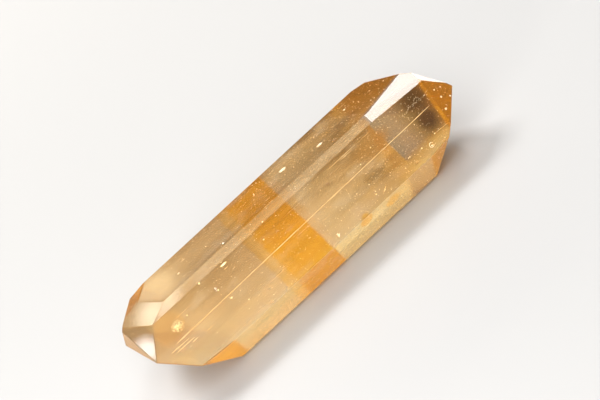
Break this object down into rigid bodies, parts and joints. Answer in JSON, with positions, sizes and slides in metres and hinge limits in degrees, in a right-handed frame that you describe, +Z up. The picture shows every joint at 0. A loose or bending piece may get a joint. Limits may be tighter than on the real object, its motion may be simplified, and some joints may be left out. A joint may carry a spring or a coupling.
{
  "type": "olenite specimen",
  "caption": "Loose transparent olenite tourmaline crystal: a stout flat-faced prism pointed at both ends, honey coloured with an orange growth band, lying on a prism face.",
  "frame": {"origin": "on the resting plane, under the middle of the crystal's box", "axes": "+X along the prism axis towards the sharper end, +Z up from the resting prism face, -Y towards the broad front face"},
  "size_m": [0.0416, 0.012, 0.0107],
  "materials": {
    "crystal": "clear champagne to honey crystal with glassy flat faces, an orange band across the prism and orange-brown tips"
  },
  "bodies": {
    "root": {"crystal": "crystal"}
  },
  "joints": []
}
